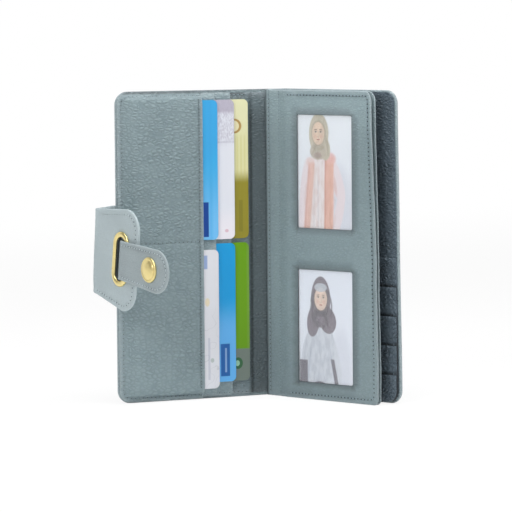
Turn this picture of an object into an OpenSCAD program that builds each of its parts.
// Long bifold wallet, standing open on its lower edges.
// Origin: bottom centre of the spine's outer leather, halfway through its thickness, where both folds turn.
// X runs along the spine and the front cover, +Z is up, and the inner side of the spine faces -Y.

/* [Covers] */
// Width of each cover, from its fold line to its fore-edge
cover_w = 90; // [80:1:110]
// Height of the covers and the spine
cover_h = 190; // [186:1:230]
// Width of the spine between the two fold lines
spine_w = 24; // [23:1:34]
// Radius of the covers' outer corners
cover_corner = 8; // [3:0.5:14]
// Thickness of the outer leather
shell_t = 1.2; // [0.9:0.1:1.6]
// Thickness of the board between leather and lining
board_t = 0.9; // [0.6:0.1:1.4]
// Thickness of the lining
lining_t = 0.6; // [0.4:0.1:1]
// Width of the turned edge round each board
turned_w = 3; // [2:0.5:5]
// Running gap between the two pieces that meet at a fold
fold_clear = 0.3; // [0.2:0.05:0.5]
// Distance of the inner layers from a fold line
inner_gap = 2.4; // [2.2:0.1:4]

/* [Pose] */
// Angle of the back cover and the leaf from the front cover's line
open_angle = 65; // [50:1:80]
// Bend of the clasp's wrap at the fore-edge
wrap_bend = 46; // [30:1:60]
// Bend of the clasp's flap at the end of its wrap
flap_bend = 57; // [40:1:70]
// How far the clasp hangs below level along its length
droop = 7; // [0:1:12]

/* [Cards and their slots] */
// Long side of a card
card_h = 85.6; // [80:0.1:90]
// Short side of a card
card_w = 54; // [50:0.1:56]
// Thickness of a card
card_t = 0.76; // [0.5:0.02:0.9]
// Corner radius of a card
card_corner = 3.2; // [2:0.1:4]
// Clearance each side of a card in its slot
card_gap = 0.15; // [0.1:0.01:0.3]
// Thickness of the middle and inner slot panels
slot_t = 0.6; // [0.4:0.1:0.8]
// Thickness of the large outer panel
panel_t = 0.9; // [0.7:0.1:1.2]
// Fold line to the mouth of the large panel
outer_mouth = 35; // [32:0.5:38]
// Fold line to the mouth of the middle slot panel
middle_mouth = 26; // [24:0.5:28]
// Fold line to the mouth of the inner slot panel
inner_mouth = 15; // [13:0.5:18]
// Fold line to the edge of the outer card
outer_card_edge = 24.9; // [22:0.1:26]
// Fold line to the edge of the middle card
middle_card_edge = 13.1; // [11:0.1:14]
// Fold line to the edge of the inner card
inner_card_edge = 3.1; // [3:0.1:6]
// Foot of the upper row of cards
upper_row_z = 98.4; // [98.4:0.1:99]
// Foot of the outer card in the lower row
lower_outer_z = 6.6; // [5.6:0.1:9]
// Foot of the other cards in the lower row
lower_row_z = 10.2; // [6:0.1:10.4]
// Width of the sewn band between the two rows
row_band = 2; // [1.5:0.1:2.4]
// Width of the sewn margin round the slot panels
margin_w = 3.2; // [2:0.1:4]
// Inset of the slot panels from the cover's edges
panel_inset = 1.6; // [1:0.1:3]
// Run of the slope from a slot's end down to its sewn flange
slope_run = 5; // [3:0.5:7]

/* [Back cover slots] */
// Number of stepped slots on the back cover
back_slot_count = 5; // [3:1:5]
// Height of the lowest slot's mouth
back_slot_low = 17.6; // [14:0.1:22]
// Step from one slot's mouth to the next
back_slot_step = 17.8; // [14:0.1:19]
// Thickness of each back slot panel
back_slot_t = 0.55; // [0.4:0.05:0.7]

/* [Window leaf] */
// Fold of the leaf to its fore-edge
leaf_w = 81.5; // [76:0.5:82]
// Height of the leaf
leaf_h = 187; // [184:0.5:189]
// Height of the leaf's lower edge above the covers'
leaf_lift = 0.3; // [0.3:0.1:1.5]
// Distance of the leaf's fold from the spine's middle, to the back cover's side
leaf_fold_x = 0.7; // [0:0.1:2]
// Distance of the leaf's fold inward from the spine's outer face
leaf_fold_in = 8; // [8:0.1:10]
// Thickness of the leaf's two leather panels
leaf_t = 0.9; // [0.6:0.1:1.1]
// Thickness of the strip that the leaf turns on, and so the room between its panels
strip_t = 1.4; // [1.2:0.1:1.6]
// Distance of the leaf's panels from the line that it turns about
panel_start = 2.4; // [2.2:0.1:3.5]
// Width of that strip, up to the line that the leaf turns about
strip_w = 9.5; // [8:0.5:11]
// Leaf's fold to the near side of the windows
window_u = 19.7; // [17:0.1:22]
// Width of a window
window_w = 43; // [38:0.5:46]
// Height of a window
window_h = 69.3; // [60:0.1:72]
// Foot of the lower window
lower_window_z = 10.6; // [10:0.1:13]
// Foot of the upper window
upper_window_z = 105.4; // [104:0.1:107]
// Corner radius of a window
window_corner = 2; // [1:0.1:4]
// Thickness of a window's clear film
film_t = 0.2; // [0.1:0.05:0.3]
// Thickness of a print
print_t = 0.25; // [0.15:0.05:0.4]
// How far a film or a print reaches past its window
behind_window = 4; // [3:0.5:4.5]

/* [Clasp] */
// Thickness of the clasp's leather
clasp_t = 1.6; // [1:0.1:2]
// Height of the clasp's middle at the fore-edge
clasp_z = 96; // [90:1:105]
// Height of the clasp's leather at its folds
clasp_h = 50; // [40:1:60]
// Length of the clasp's anchor on the front cover
anchor_w = 22; // [15:1:30]
// Half height of the tab at its widest
tab_half_h = 30.5; // [28:0.5:34]
// Fold to free edge of the tab
tab_w = 46; // [43:0.5:48]
// Corner radius of the tab
tab_corner = 13; // [8:0.5:15]
// Fold to the middle of the oval ring
ring_u = 29.4; // [26:0.1:30]
// Outer length of the ring
ring_h = 33; // [30:0.5:36]
// Outer width of the ring
ring_w = 15.8; // [14:0.1:17]
// Width of the ring's band
ring_band = 3.2; // [2.6:0.1:3.4]
// Thickness of the ring
ring_t = 1.2; // [0.8:0.1:1.6]
// Thickness of the strap
strap_t = 1.4; // [1:0.1:1.8]
// Half height of the strap at the ring
strap_half_h = 11.7; // [10:0.1:12]
// Radius of the strap's round end
strap_end_r = 13; // [12.5:0.1:14]
// Fold to the end of the strap
strap_reach = 82; // [80:0.5:86]
// Length of the strap's tail on the back of the tab
tail_w = 14; // [8:1:18]
// Fold to the middle of the snap
snap_u = 63.2; // [61:0.1:64]
// Diameter of the snap's cap
cap_d = 15; // [12:0.1:17]
// Height of the snap's cap
cap_h = 2.2; // [1.6:0.1:3]
// Outer diameter of the snap's socket
socket_d = 11; // [9:0.1:12]
// Diameter of the snap's stud
stud_d = 4.6; // [3.6:0.1:5]
// Diameter of the stud's foot
stud_foot_d = 11; // [9:0.1:12]

/* [Hidden] */
$fn = 64;
// Overrun of every cut past the face that it opens
over = 1;
// Depth of a fold's axis inside the outer face, at half the leather
axis_in = shell_t / 2;
half_spine = spine_w / 2;
// Depth of each layer's inner face from the cover's outer face
board_in = shell_t + board_t;
lining_in = board_in + lining_t;
board_gap = 0.2;
// Distance of a cover's leather from its fold line, which the spine's rolled edge reaches
fold_gap = axis_in + fold_clear;
// Card levels, from the lining outward
slot_pitch = card_t + 2 * card_gap + slot_t;
inner_level = lining_in;
middle_level = inner_level + slot_pitch;
outer_level = middle_level + slot_pitch;
// Clearance between a card and the closed end or side of its slot
slot_end_gap = 0.4;
row_split_z = upper_row_z - slot_end_gap - row_band / 2;
// Foot of the sewn band over the upper row
head_band_z = upper_row_z + card_h + slot_end_gap;
panel_foot = panel_inset;
panel_head = cover_h - panel_inset;
flange_w = 3;
// Leaf
leaf_room = strip_t;
leaf_half = leaf_room / 2 + leaf_t;
leaf_top = leaf_lift + leaf_h;
leaf_corner = 6;
// Distance of the gusset and the tongue from the strip's two turning lines
roll_gap = strip_t / 2 + fold_clear;
welt_w = 3;
print_gap = 0.15;
leaf_band_z = (lower_window_z + window_h + upper_window_z) / 2;
// Clasp
fore_edge_gap = 1.5;
clasp_axis_u = cover_w + fore_edge_gap;
half_clasp = clasp_t / 2;
clasp_gap = half_clasp + fold_clear;
tail_t = 1.2;
clasp_clear = 0.4;
// Distance of the closed flap's middle from the back cover's outer face
flap_standoff = half_clasp + tail_t + clasp_clear;
wrap_len = spine_w + 2 * axis_in + half_clasp + flap_standoff;
wrap_turn = 180 + wrap_bend;
flap_turn = wrap_turn + flap_bend;
wrap_axis = [-half_spine - clasp_axis_u, axis_in + half_clasp];
flap_axis = [wrap_axis[0] + wrap_len * cos(wrap_turn), wrap_axis[1] + wrap_len * sin(wrap_turn)];
// Thickness of the washer behind the ring
ring_back_t = 0.5;
// Height of the strap over the ring, and its start beyond the ring's near band
strap_over_ring = 0.15;
strap_past_band = 6.9;
strap_level = half_clasp + ring_t + strap_over_ring;
strap_axis_u = ring_u - ring_w / 2 + ring_band + strap_past_band;
// The strap's neck through the ring, and its distance from the strap
neck_t = 1.3;
neck_gap = 0.2;
// How far the tab's outline starts before the fold, where an upright cut then trims it
tab_lead = clasp_h / 4;
// Snap
stud_u = clasp_axis_u - snap_u * cos(droop);
stud_z = clasp_z - snap_u * sin(droop);
stud_foot_t = 0.5;
socket_gap = 0.25;
// Thickness of the socket's wall against the strap
socket_wall = 0.6;
// From the strap's inner face to the back cover's outer face when the clasp is shut
snap_room = strap_level + flap_standoff;
socket_h = snap_room - stud_foot_t - socket_gap;
stud_h = snap_room - socket_gap - socket_wall;
// Depth of the stud's neck below its head
stud_neck_in = 0.5;
stud_neck_d = stud_d - 2 * stud_neck_in;
washer_d = 9;
post_d = 3;

// Rounded rectangle from [0, 0] to [w, h], with its own radius at the near side and the far side
module rounded(w, h, near_r, far_r) {
    difference() {
        square([w, h]);
        for (top = [0, 1]) {
            corner_cut(near_r, 0, top * h, 1, 1 - 2 * top);
            corner_cut(far_r, w, top * h, -1, 1 - 2 * top);
        }
    }
}

// What a round corner takes off a square one at [u, v], opening along the signs su and sv
module corner_cut(r, u, v, su, sv) {
    if (r > 0)
        translate([u, v])
            mirror([su < 0 ? 1 : 0, 0])
                mirror([0, sv < 0 ? 1 : 0])
                    difference() {
                        translate([-over, -over])
                            square(r + over);
                        translate([r, r])
                            circle(r);
                    }
}

// Plate over a flat outline, from depth w inward by t
module slab(w, t) {
    translate([0, -w, 0])
        rotate([90, 0, 0])
            linear_extrude(t)
                children();
}

// Places a cover's own frame: u away from the fold, depth inward, v up
module on_front() {
    translate([-half_spine, axis_in, 0])
        mirror([1, 0, 0])
            children();
}

module on_back() {
    translate([half_spine, 0, 0])
        rotate([0, 0, -open_angle])
            translate([0, axis_in, 0])
                children();
}

module on_spine() {
    translate([0, axis_in, 0])
        children();
}

// The leaf's own frame: u away from its fold, depth towards the front cover, v up
module on_leaf() {
    translate([leaf_fold_x, axis_in - leaf_fold_in, 0])
        rotate([0, 0, -open_angle])
            children();
}

module on_wrap() {
    translate([wrap_axis[0], wrap_axis[1], clasp_z])
        rotate([0, 0, wrap_turn])
            children();
}

module on_flap_fold() {
    translate([flap_axis[0], flap_axis[1], clasp_z])
        rotate([0, 0, flap_turn])
            children();
}

// The flap's own frame: u along the strap, which hangs by the droop, depth towards the clasp's outer side
module on_flap() {
    on_flap_fold()
        rotate([0, droop, 0])
            children();
}

// Outer leather of a cover, with the recess for its board
module cover_shell() {
    difference() {
        translate([fold_gap, 0, 0])
            slab(0, board_in)
                rounded(cover_w - fold_gap, cover_h, 0, cover_corner);
        translate([turned_w, 0, turned_w])
            slab(shell_t, board_t + over)
                rounded(cover_w - 2 * turned_w, cover_h - 2 * turned_w, 0, cover_corner - turned_w);
        slab(shell_t, board_t + over)
            translate([-over, -over])
                square([inner_gap + over, cover_h + 2 * over]);
    }
}

module cover_board() {
    translate([turned_w + board_gap, 0, turned_w + board_gap])
        slab(shell_t, board_t)
            rounded(cover_w - 2 * turned_w - 2 * board_gap, cover_h - 2 * turned_w - 2 * board_gap,
                0, cover_corner - turned_w - board_gap);
}

module cover_lining() {
    translate([inner_gap, 0, panel_inset / 2])
        slab(board_in, lining_t)
            rounded(cover_w - inner_gap - panel_inset / 2, cover_h - panel_inset, 0,
                cover_corner - panel_inset / 2);
}

// One slot panel: its flat part over the cards, the slope at the slot's end, the flange sewn down beyond it,
// and the sewn bands above, between and below the two rows. It lies on the layer at level.
module slot_panel(mouth, card_edge, level, t, end_u) {
    inside = level + card_t + 2 * card_gap;
    slot_end = card_edge + card_w + slot_end_gap;
    intersection() {
        union() {
            translate([0, 0, panel_foot])
                linear_extrude(panel_head - panel_foot)
                    polygon([[mouth, -inside], [slot_end, -inside], [slot_end + slope_run, -inner_level],
                        [end_u, -inner_level], [end_u, -inner_level - t],
                        [slot_end + slope_run + t, -inner_level - t], [slot_end + t, -inside - t],
                        [mouth, -inside - t]]);
            for (band = [[panel_foot, margin_w], [row_split_z - row_band / 2, row_band],
                    [head_band_z, cover_h]])
                translate([mouth, -inside, band[0]])
                    cube([slot_end - mouth, inside - level, band[1]]);
        }
        slab(0, inside + t + over)
            translate([0, panel_inset])
                rounded(cover_w - panel_inset, cover_h - 2 * panel_inset, 0, cover_corner - panel_inset);
    }
}

module card(edge, foot, level) {
    translate([edge, 0, foot])
        slab(level + card_gap, card_t)
            rounded(card_w, card_h, card_corner, card_corner);
}

module back_slot(i) {
    mouth = back_slot_low + (back_slot_count - i) * back_slot_step;
    if (i <= back_slot_count)
        translate([inner_gap, 0, panel_inset])
            slab(lining_in + (i - 1) * back_slot_t, back_slot_t)
                intersection() {
                    rounded(cover_w - inner_gap - panel_inset, cover_h - 2 * panel_inset, 0,
                        cover_corner - panel_inset);
                    square([cover_w, mouth - panel_inset]);
                }
}

// Upright sheet of thickness t between two turning lines, u from 0 to w, with both edges rolled round the lines
module rolled_sheet(w, h, t) {
    slab(-t / 2, t)
        square([w, h]);
    for (u = [0, w])
        translate([u, 0, 0])
            cylinder(h = h, d = t);
}

module spine_shell() {
    color("lightslategray")
        translate([-half_spine, 0, 0])
            rolled_sheet(spine_w, cover_h, shell_t);
}

module spine_lining() {
    color("slategray")
        on_spine()
            translate([inner_gap - half_spine, 0, panel_inset / 2])
                slab(shell_t, lining_t)
                    square([spine_w - 2 * inner_gap, cover_h - panel_inset]);
}

// Upright strip sewn to the spine, which ends short of the leaf's fold
module leaf_gusset() {
    reach = (leaf_fold_in - shell_t - lining_t) / sin(open_angle);
    color("slategray")
        intersection() {
            on_leaf()
                translate([-reach - strip_t, 0, leaf_lift])
                    slab(-strip_t / 2, strip_t)
                        square([reach + strip_t - roll_gap, leaf_h]);
            on_spine()
                translate([-half_spine, -leaf_fold_in, 0])
                    cube([spine_w, leaf_fold_in - shell_t - lining_t, leaf_top]);
        }
}

module front_shell() {
    color("lightslategray")
        on_front()
            cover_shell();
}

module front_board() {
    color("tan")
        on_front()
            cover_board();
}

module front_lining() {
    color("slategray")
        on_front()
            cover_lining();
}

module inner_slot_panel() {
    end_u = inner_card_edge + card_w + slot_end_gap + slope_run + flange_w;
    color("slategray")
        on_front()
            slot_panel(inner_mouth, inner_card_edge, inner_level, slot_t, end_u);
}

module middle_slot_panel() {
    end_u = middle_card_edge + card_w + slot_end_gap + slope_run + flange_w;
    color("slategray")
        on_front()
            difference() {
                slot_panel(middle_mouth, middle_card_edge, middle_level, slot_t, end_u);
                inner_panel_room();
            }
}

// Room that the inner slot panel's slope and flange take under the middle one
module inner_panel_room() {
    inner_end = inner_card_edge + card_w + slot_end_gap;
    translate([0, 0, -over])
        linear_extrude(cover_h + 2 * over)
            polygon([[inner_end, -inner_level + over], [inner_end, -middle_level],
                [inner_end + slot_t, -middle_level], [inner_end + slope_run + slot_t, -inner_level - slot_t],
                [inner_end + slope_run + flange_w, -inner_level - slot_t],
                [inner_end + slope_run + flange_w, -inner_level + over]]);
}

module large_slot_panel() {
    color("lightslategray")
        on_front()
            difference() {
                slot_panel(outer_mouth, outer_card_edge, outer_level, panel_t, cover_w - panel_inset);
                middle_panel_room();
            }
}

// Room that the middle slot panel's slope and flange take under the large one
module middle_panel_room() {
    middle_end = middle_card_edge + card_w + slot_end_gap;
    translate([0, 0, -over])
        linear_extrude(cover_h + 2 * over)
            polygon([[middle_end, -inner_level + over], [middle_end, -outer_level],
                [middle_end + slot_t, -outer_level], [middle_end + slope_run + slot_t, -inner_level - slot_t],
                [middle_end + slope_run + flange_w, -inner_level - slot_t],
                [middle_end + slope_run + flange_w, -inner_level + over]]);
}

module clasp_anchor() {
    color("powderblue")
        on_front()
            translate([clasp_axis_u - clasp_gap - anchor_w, 0, clasp_z - clasp_h / 2])
                slab(-clasp_t, clasp_t)
                    rounded(anchor_w, clasp_h, tab_corner, 0);
}

module upper_card_outer() {
    color("deepskyblue")
        on_front()
            card(outer_card_edge, upper_row_z, outer_level);
}

module upper_card_middle() {
    color("lavender")
        on_front()
            card(middle_card_edge, upper_row_z, middle_level);
}

module upper_card_inner() {
    color("darkkhaki")
        on_front()
            card(inner_card_edge, upper_row_z, inner_level);
}

module lower_card_outer() {
    color("white")
        on_front()
            card(outer_card_edge, lower_outer_z, outer_level);
}

module lower_card_middle() {
    color("dodgerblue")
        on_front()
            card(middle_card_edge, lower_row_z, middle_level);
}

module lower_card_inner() {
    color("olivedrab")
        on_front()
            card(inner_card_edge, lower_row_z, inner_level);
}

module back_shell() {
    color("lightslategray")
        on_back()
            difference() {
                cover_shell();
                stud_hole(post_d);
            }
}

module stud_hole(d) {
    translate([stud_u, over, stud_z])
        rotate([90, 0, 0])
            cylinder(h = board_in + 2 * over, d = d);
}

module back_board() {
    color("tan")
        on_back()
            difference() {
                cover_board();
                stud_hole(washer_d + 2 * board_gap);
            }
}

module back_lining() {
    color("slategray")
        on_back()
            cover_lining();
}

module back_slot_1() { color("slategray") on_back() back_slot(1); }
module back_slot_2() { color("slategray") on_back() back_slot(2); }
module back_slot_3() { color("slategray") on_back() back_slot(3); }
module back_slot_4() { color("slategray") on_back() back_slot(4); }
module back_slot_5() { color("slategray") on_back() back_slot(5); }

// Stud on the back cover's outer face: foot, neck, head and the post that goes through the leather
module snap_stud() {
    head_h = stud_d / 3;
    color("gold")
        on_back()
            translate([stud_u, 0, stud_z])
                rotate([-90, 0, 0])
                    rotate_extrude()
                        polygon([[0, -board_in], [post_d / 2, -board_in], [post_d / 2, 0],
                            [stud_foot_d / 2, 0], [stud_foot_d / 2, stud_foot_t],
                            [stud_neck_d / 2, stud_foot_t], [stud_neck_d / 2, stud_h - 2 * head_h],
                            [stud_d / 2, stud_h - head_h], [stud_neck_d / 2, stud_h], [0, stud_h]]);
}

module stud_washer() {
    color("darkgoldenrod")
        on_back()
            translate([stud_u, -shell_t, stud_z])
                rotate([90, 0, 0])
                    difference() {
                        cylinder(h = board_t, d = washer_d);
                        translate([0, 0, -over])
                            cylinder(h = board_t + 2 * over, d = post_d);
                    }
}

module leaf_hinge_strip() {
    color("lightslategray")
        on_leaf()
            translate([0, 0, leaf_lift])
                rolled_sheet(strip_w, leaf_h, strip_t);
}

// Outline of the leaf from start beyond the line that it turns about to its fore-edge
module leaf_outline(start) {
    translate([strip_w + start, leaf_lift])
        rounded(leaf_w - strip_w - start, leaf_h, 0, leaf_corner);
}

module window(z, past) {
    translate([window_u - past, z - past])
        rounded(window_w + 2 * past, window_h + 2 * past, window_corner, window_corner);
}

module leaf_front_panel() {
    color("lightslategray")
        on_leaf()
            slab(leaf_room / 2, leaf_t)
                difference() {
                    leaf_outline(panel_start);
                    window(lower_window_z, 0);
                    window(upper_window_z, 0);
                }
}

module leaf_back_panel() {
    color("slategray")
        on_leaf()
            slab(-leaf_half, leaf_t)
                leaf_outline(panel_start);
}

// Leather sewn between the two panels: a tongue along the root, and bands along the foot, the middle and the head
module leaf_welts() {
    tongue_end = window_u - behind_window - 2 * print_gap;
    band_h = upper_window_z - lower_window_z - window_h - 2 * behind_window - 4 * print_gap;
    head_z = upper_window_z + window_h + behind_window + 2 * print_gap;
    color("slategray")
        on_leaf()
            slab(-leaf_room / 2, leaf_room)
                intersection() {
                    leaf_outline(roll_gap);
                    union() {
                        square([tongue_end, leaf_top]);
                        for (band = [[leaf_lift, welt_w], [leaf_band_z - band_h / 2, band_h],
                                [head_z, leaf_h]])
                            translate([0, band[0]])
                                square([leaf_w, band[1]]);
                    }
                }
}

module film(z) {
    color("azure")
        on_leaf()
            slab(leaf_room / 2 - film_t, film_t)
                window(z, behind_window);
}

module upper_film() { film(upper_window_z); }
module lower_film() { film(lower_window_z); }

module photo_print(z) {
    on_leaf()
        slab(leaf_room / 2 - film_t - print_gap - print_t, print_t)
            window(z, behind_window);
}

module upper_print() { color("mistyrose") photo_print(upper_window_z); }
module lower_print() { color("gainsboro") photo_print(lower_window_z); }

module clasp_wrap() {
    color("powderblue")
        on_wrap()
            translate([0, 0, -clasp_h / 2])
                rolled_sheet(wrap_len, clasp_h, clasp_t);
}

// Tab outline: widens from past the fold and ends in two round corners
module tab_outline() {
    corner_u = tab_w - tab_corner;
    corner_v = tab_half_h - tab_corner;
    lead_half_h = clasp_h / 2 - tab_lead * (tab_half_h - clasp_h / 2) / corner_u;
    polygon([
        [-tab_lead, lead_half_h],
        for (a = [90:-6:0]) [corner_u + tab_corner * cos(a), corner_v + tab_corner * sin(a)],
        for (a = [0:-6:-90]) [corner_u + tab_corner * cos(a), -corner_v + tab_corner * sin(a)],
        [-tab_lead, -lead_half_h]]);
}

// Upright slot with round ends about the ring's middle
module upright_slot(w, h) {
    translate([ring_u - w / 2, -h / 2])
        rounded(w, h, w / 2, w / 2);
}

module ring_outline() {
    difference() {
        upright_slot(ring_w, ring_h);
        upright_slot(ring_w - 2 * ring_band, ring_h - 2 * ring_band);
    }
}

module clasp_tab() {
    color("powderblue")
        on_flap_fold()
            intersection() {
                rotate([0, droop, 0])
                    slab(-half_clasp, clasp_t)
                        difference() {
                            tab_outline();
                            upright_slot(ring_w - 2 * ring_band, ring_h - 2 * ring_band);
                        }
                translate([clasp_gap, -clasp_t, -cover_h / 2])
                    cube([cover_w, 2 * clasp_t, cover_h]);
            }
}

module ring_front() {
    color("gold")
        on_flap()
            slab(half_clasp, ring_t)
                ring_outline();
}

// Flat washer that the ring's prongs are bent over, on the inner side of the tab
module ring_back() {
    color("darkgoldenrod")
        on_flap()
            slab(-half_clasp - ring_back_t, ring_back_t)
                difference() {
                    ring_outline();
                    translate([0, -strap_half_h - print_gap])
                        square([strap_axis_u, 2 * (strap_half_h + print_gap)]);
                }
}

// The strap's fixed end: glued to the tab's inner side, then up through the ring's hole
module strap_tail() {
    neck_u = strap_axis_u - neck_t - neck_gap;
    color("powderblue")
        on_flap() {
            translate([neck_u + neck_t - tail_w, 0, -strap_half_h])
                slab(-half_clasp - tail_t, tail_t)
                    square([tail_w, 2 * strap_half_h]);
            translate([neck_u, 0, -strap_half_h])
                slab(-half_clasp - tail_t, tail_t + clasp_t + ring_t)
                    square([neck_t, 2 * strap_half_h]);
        }
}

// Strap outline: widens from the ring to its round end
module strap_outline() {
    end_u = strap_reach - strap_end_r;
    polygon([
        [strap_axis_u, strap_half_h],
        for (a = [90:-6:-90]) [end_u + strap_end_r * cos(a), strap_end_r * sin(a)],
        [strap_axis_u, -strap_half_h]]);
}

module clasp_strap() {
    color("powderblue")
        on_flap()
            difference() {
                slab(strap_level, strap_t)
                    strap_outline();
                translate([snap_u, over, 0])
                    rotate([90, 0, 0])
                        cylinder(h = strap_level + strap_t + 2 * over, d = post_d);
            }
}

// Domed cap on the strap's outer side, with the post that joins it to the socket
module snap_cap() {
    rim_h = cap_h / 3;
    color("gold")
        on_flap()
            translate([snap_u, -strap_level - strap_t, 0])
                rotate([90, 0, 0])
                    rotate_extrude()
                        polygon([[0, -strap_t], [post_d / 2, -strap_t], [post_d / 2, 0], [cap_d / 2, 0],
                            [cap_d / 2, rim_h],
                            for (a = [0:10:90]) [(cap_d / 2 - rim_h) * cos(a), rim_h + (cap_h - rim_h) * sin(a)]]);
}

module snap_socket() {
    bore_d = stud_d + 2 * socket_gap;
    color("gold")
        on_flap()
            translate([snap_u, -strap_level, 0])
                rotate([-90, 0, 0])
                    difference() {
                        cylinder(h = socket_h, d = socket_d);
                        translate([0, 0, socket_wall])
                            cylinder(h = socket_h + over, d = bore_d);
                    }
}

spine_shell();
spine_lining();
leaf_gusset();
front_shell();
front_board();
front_lining();
inner_slot_panel();
middle_slot_panel();
large_slot_panel();
clasp_anchor();
upper_card_outer();
upper_card_middle();
upper_card_inner();
lower_card_outer();
lower_card_middle();
lower_card_inner();
back_shell();
back_board();
back_lining();
back_slot_1();
back_slot_2();
back_slot_3();
back_slot_4();
back_slot_5();
snap_stud();
stud_washer();
leaf_hinge_strip();
leaf_front_panel();
leaf_back_panel();
leaf_welts();
upper_film();
lower_film();
upper_print();
lower_print();
clasp_wrap();
clasp_tab();
ring_front();
ring_back();
strap_tail();
clasp_strap();
snap_cap();
snap_socket();
